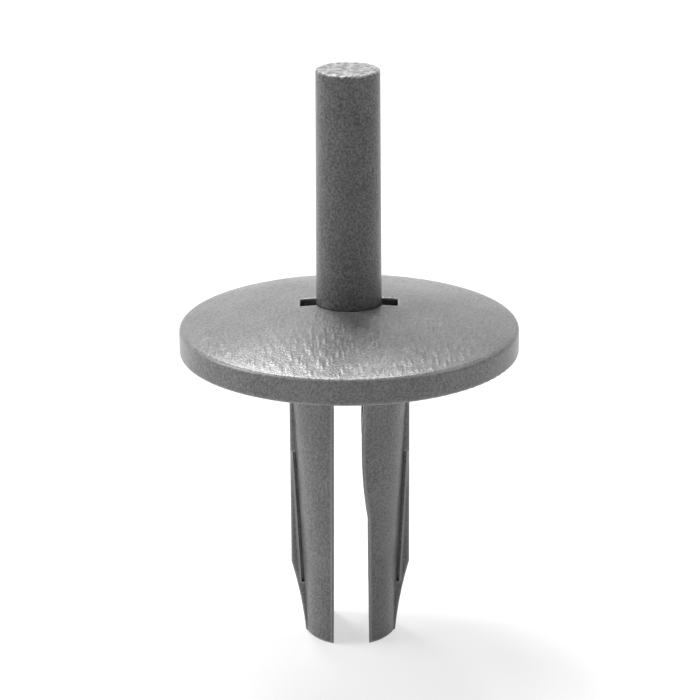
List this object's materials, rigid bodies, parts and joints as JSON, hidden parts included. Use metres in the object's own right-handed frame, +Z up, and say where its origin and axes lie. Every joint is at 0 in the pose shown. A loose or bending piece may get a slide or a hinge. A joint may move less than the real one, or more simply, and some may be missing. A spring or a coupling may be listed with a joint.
{
  "type": "plastic push rivet",
  "caption": "Plastic push rivet: a low domed head on a split, tapered shank, with a straight pin standing ready to be driven down through the head.",
  "frame": {"origin": "centre of the circle that the leg tips stand on, on the shank's axis", "axes": "+Z up along the shank and the pin, from the leg tips to the pin's top; X runs across the two legs; Y runs through the gap between them"},
  "size_m": [0.018, 0.018, 0.0314],
  "materials": {
    "moulded_nylon": "fine spark-eroded grain",
    "pin_nylon": "fine satin"
  },
  "bodies": {
    "rivet_body": {"rivet_body": "moulded_nylon"},
    "drive_pin": {"drive_pin": "pin_nylon"}
  },
  "joints": [
    {"name": "pin_drive", "type": "slide", "parent": "rivet_body", "child": "drive_pin", "axis": [0, 0, -1], "range_m": [0, 0.0125]}
  ]
}
